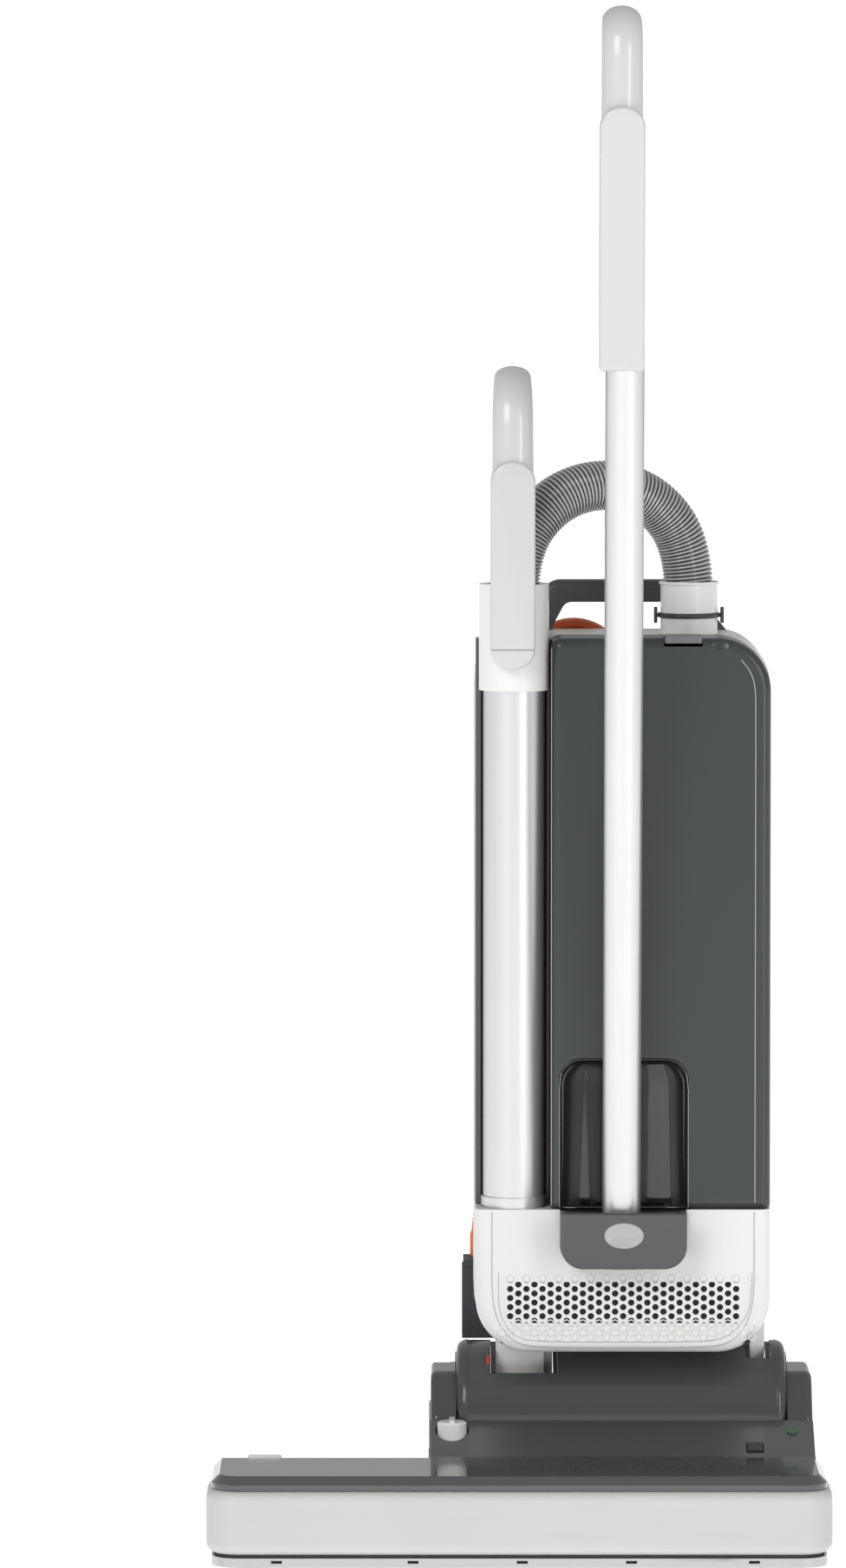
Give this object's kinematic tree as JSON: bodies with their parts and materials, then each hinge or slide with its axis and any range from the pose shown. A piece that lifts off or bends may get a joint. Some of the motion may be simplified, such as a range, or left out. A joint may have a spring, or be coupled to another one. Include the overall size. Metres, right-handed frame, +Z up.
{
  "type": "upright vacuum cleaner",
  "caption": "Commercial upright vacuum cleaner: wide brush head on wheels, reclining body with bag cover, hose and wand, main handle tube and a wound mains cord.",
  "frame": {"origin": "middle of the footprint's bounding box, on the floor", "axes": "+X to the right seen from the front, +Y towards the back, +Z up"},
  "size_m": [0.46, 0.322, 1.1448],
  "materials": {
    "bag_paper": "filter paper",
    "belt_rubber": "belt",
    "black_part": "black plastic",
    "board": "circuit board",
    "bristle": "nylon tufts",
    "bumper_grey": "light grey bumper",
    "clear_tab": "translucent tab",
    "cord_orange": "orange flexible sheath",
    "dark_base": "dark structural plastic",
    "dark_shell": "dark grey moulded shell, gloss",
    "filter_foam": "filter mat",
    "hose_grey": "ribbed hose",
    "lens": "indicator lens",
    "light_shell": "light grey moulded shell, satin gloss",
    "pin_steel": "turned steel",
    "socket_grey": "dark grey gloss",
    "sole_metal": "worn sheet steel",
    "switch_red": "rocker",
    "tube_metal": "drawn satin tube",
    "tyre_rubber": "grey tyre rubber",
    "wheel_grey": "grey hub"
  },
  "bodies": {
    "head": {"sole_plate": "sole_metal", "base_tray": "dark_base", "bumper": "bumper_grey", "head_cover": "dark_shell", "neck_hood": "dark_shell", "side_cheeks": "dark_shell", "steel_pins": "pin_steel", "air_elbow": "black_part", "brush_motor": "pin_steel", "drive_belt": "belt_rubber", "brush_bearings": "pin_steel", "indicator_lens": "lens", "control_board": "board"},
    "brush": {"brush_core": "black_part", "brush_pulley": "wheel_grey", "brush_bristles": "bristle"},
    "motor_shaft": {"motor_pulley": "pin_steel"},
    "left_wheel": {"wheel_left": "wheel_grey", "tyre_left": "tyre_rubber"},
    "right_wheel": {"wheel_right": "wheel_grey", "tyre_right": "tyre_rubber"},
    "height_carrier": {"roller_carrier": "black_part"},
    "left_roller": {"roller_left": "wheel_grey"},
    "right_roller": {"roller_right": "wheel_grey"},
    "knob": {"height_knob": "light_shell"},
    "pedal": {"release_pedal": "light_shell"},
    "button": {"brush_button": "black_part"},
    "upright": {"rear_housing": "light_shell", "motor_cover": "light_shell", "exhaust_grille": "light_shell", "handle_socket": "socket_grey", "neck_and_lug": "light_shell", "wand_duct": "black_part", "suction_motor": "pin_steel", "exhaust_filter": "filter_foam", "wand_channel": "dark_shell", "filter_bag": "bag_paper", "bag_holder": "black_part", "cover_seal": "belt_rubber", "hose_cuff": "light_shell", "cuff_strap": "black_part", "carry_handle": "black_part", "hook_posts": "black_part", "inlet_box": "dark_base", "cord_coupler": "cord_orange", "housing_screws": "pin_steel", "mains_cord_lead": "cord_orange", "mains_cord_hank": "cord_orange", "mains_plug": "cord_orange", "suction_hose": "hose_grey"},
    "fan": {"fan_impeller": "wheel_grey"},
    "cover": {"bag_cover": "dark_shell"},
    "latch": {"cover_latch": "clear_tab"},
    "wand": {"wand_tube": "tube_metal", "wand_collar": "light_shell", "wand_grip": "light_shell"},
    "main_handle": {"handle_tube": "tube_metal", "handle_grip": "light_shell"},
    "finger": {"hook_finger": "black_part"},
    "rocker": {"power_switch": "switch_red"}
  },
  "joints": [
    {"name": "body_recline", "type": "hinge", "parent": "head", "child": "upright", "pos_m": [0.078, 0.034, 0.088], "axis": [-1, 0, 0], "range_deg": [0, 65]},
    {"name": "brush_spin", "type": "hinge", "parent": "head", "child": "brush", "pos_m": [0, -0.111, 0.029], "axis": [1, 0, 0], "continuous": true},
    {"name": "motor_spin", "type": "hinge", "parent": "head", "child": "motor_shaft", "pos_m": [0.208, -0.033, 0.04], "axis": [1, 0, 0], "continuous": true},
    {"name": "left_wheel_spin", "type": "hinge", "parent": "head", "child": "left_wheel", "pos_m": [-0.058, 0.101, 0.043], "axis": [1, 0, 0], "continuous": true},
    {"name": "right_wheel_spin", "type": "hinge", "parent": "head", "child": "right_wheel", "pos_m": [0.214, 0.101, 0.043], "axis": [1, 0, 0], "continuous": true},
    {"name": "roller_height", "type": "slide", "parent": "head", "child": "height_carrier", "axis": [0, 0, -1], "range_m": [0, 0.008]},
    {"name": "left_roller_spin", "type": "hinge", "parent": "height_carrier", "child": "left_roller", "pos_m": [-0.157, -0.0765, 0.007], "axis": [1, 0, 0], "continuous": true},
    {"name": "right_roller_spin", "type": "hinge", "parent": "height_carrier", "child": "right_roller", "pos_m": [0.157, -0.0765, 0.007], "axis": [1, 0, 0], "continuous": true},
    {"name": "height_knob_turn", "type": "hinge", "parent": "head", "child": "knob", "pos_m": [-0.049, -0.03, 0.08], "axis": [0, 0, 1], "range_deg": [0, 150]},
    {"name": "pedal_press", "type": "hinge", "parent": "head", "child": "pedal", "pos_m": [-0.055, 0.067, 0.103], "axis": [-1, 0, 0], "range_deg": [0, 10], "stiffness_Nm_per_rad": 1, "springref_deg": -17.19},
    {"name": "brush_button_press", "type": "slide", "parent": "head", "child": "button", "axis": [0, 0.4559, -0.89], "range_m": [0, 0.0025], "stiffness_N_per_m": 300, "springref_m": -0.002},
    {"name": "fan_spin", "type": "hinge", "parent": "upright", "child": "fan", "pos_m": [0.1, 0.044, 0.239], "axis": [0, 0, 1], "continuous": true},
    {"name": "cover_tilt", "type": "hinge", "parent": "upright", "child": "cover", "pos_m": [0.105, -0.044, 0.2515], "axis": [1, 0, 0], "range_deg": [0, 4]},
    {"name": "latch_press", "type": "slide", "parent": "cover", "child": "latch", "axis": [0, 0, -1], "range_m": [0, 0.003], "stiffness_N_per_m": 300, "springref_m": -0.002},
    {"name": "wand_lift", "type": "slide", "parent": "upright", "child": "wand", "axis": [0, 0, 1], "range_m": [0, 0.08], "deforming": ["suction_hose"]},
    {"name": "handle_lift_off", "type": "slide", "parent": "upright", "child": "main_handle", "axis": [0, -0.1045, 0.9945], "range_m": [0, 0.05]},
    {"name": "hook_swivel", "type": "hinge", "parent": "upright", "child": "finger", "pos_m": [0.044, 0.157, 0.64], "axis": [0, 1, 0], "range_deg": [0, 180]},
    {"name": "power_rocker", "type": "hinge", "parent": "upright", "child": "rocker", "pos_m": [0.14, 0.118, 0.6], "axis": [1, 0, 0], "range_deg": [-6, 6]}
  ],
  "couplings": [
    {"joint": "motor_spin", "follows": "brush_spin", "ratio": 2.5},
    {"joint": "height_knob_turn", "follows": "roller_height", "rad_per_m": 327.25}
  ]
}
